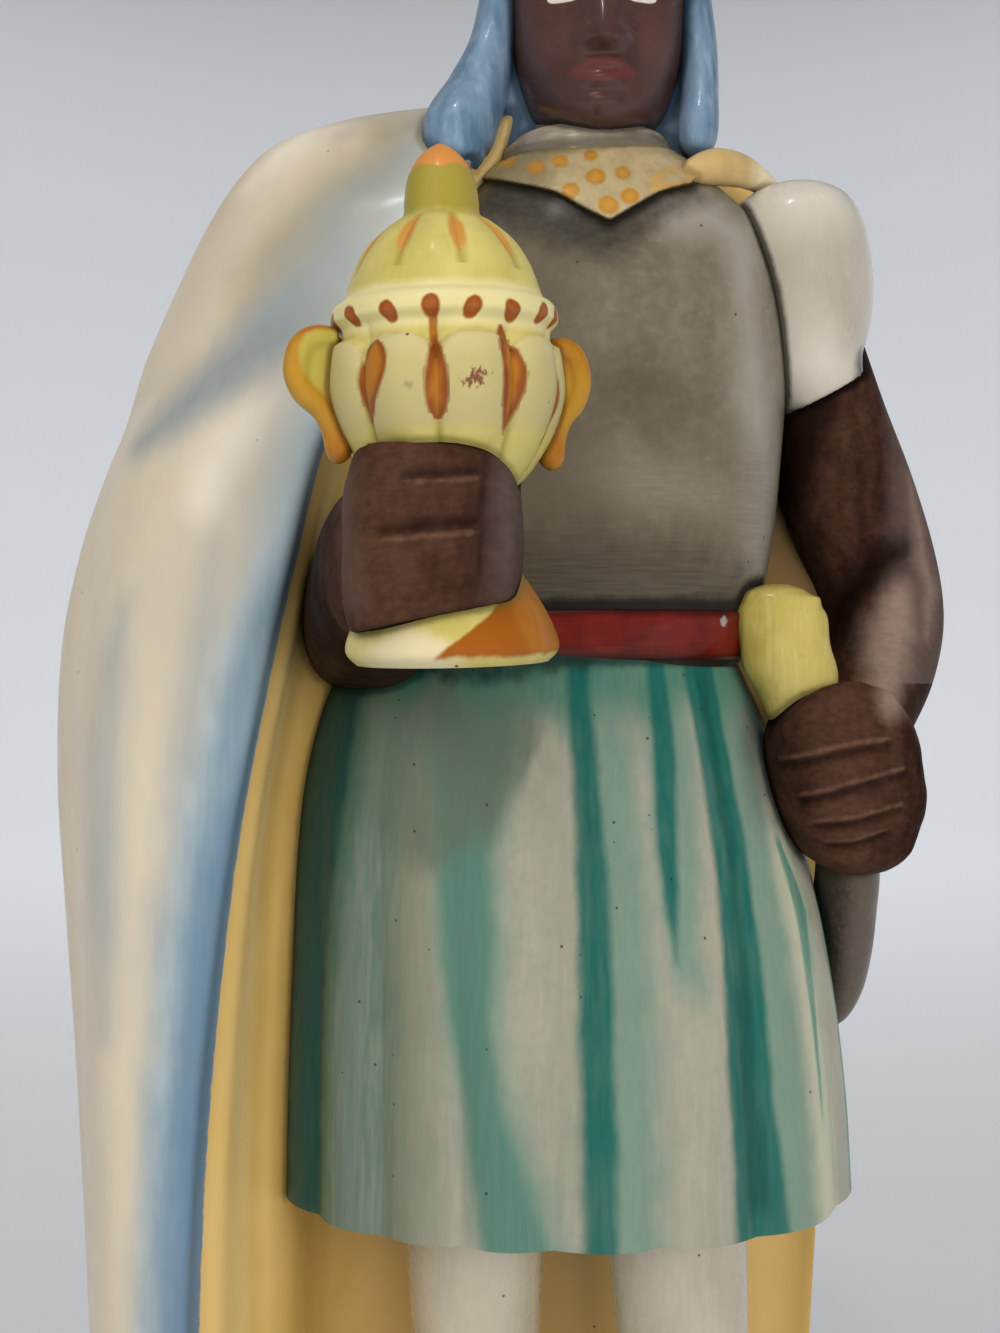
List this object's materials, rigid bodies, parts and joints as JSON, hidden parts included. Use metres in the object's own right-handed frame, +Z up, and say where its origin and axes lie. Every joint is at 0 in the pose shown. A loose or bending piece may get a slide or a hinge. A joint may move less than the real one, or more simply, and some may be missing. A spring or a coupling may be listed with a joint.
{
  "type": "presepe figure",
  "caption": "Standing glazed ceramic nativity king in a long cloak, tunic and pleated skirt, holding a lidded cup and a dagger's hilt, on a low oval base.",
  "frame": {"origin": "middle of the flat underside of the base, on the surface it stands on", "axes": "+Z up along the figure's height, the figure faces -Y, +X to the viewer's right from the front"},
  "size_m": [0.1407, 0.1138, 0.3],
  "materials": {
    "glaze": "gloss glaze over hand-painted colours"
  },
  "bodies": {
    "root": {"figure": "glaze"}
  },
  "joints": []
}
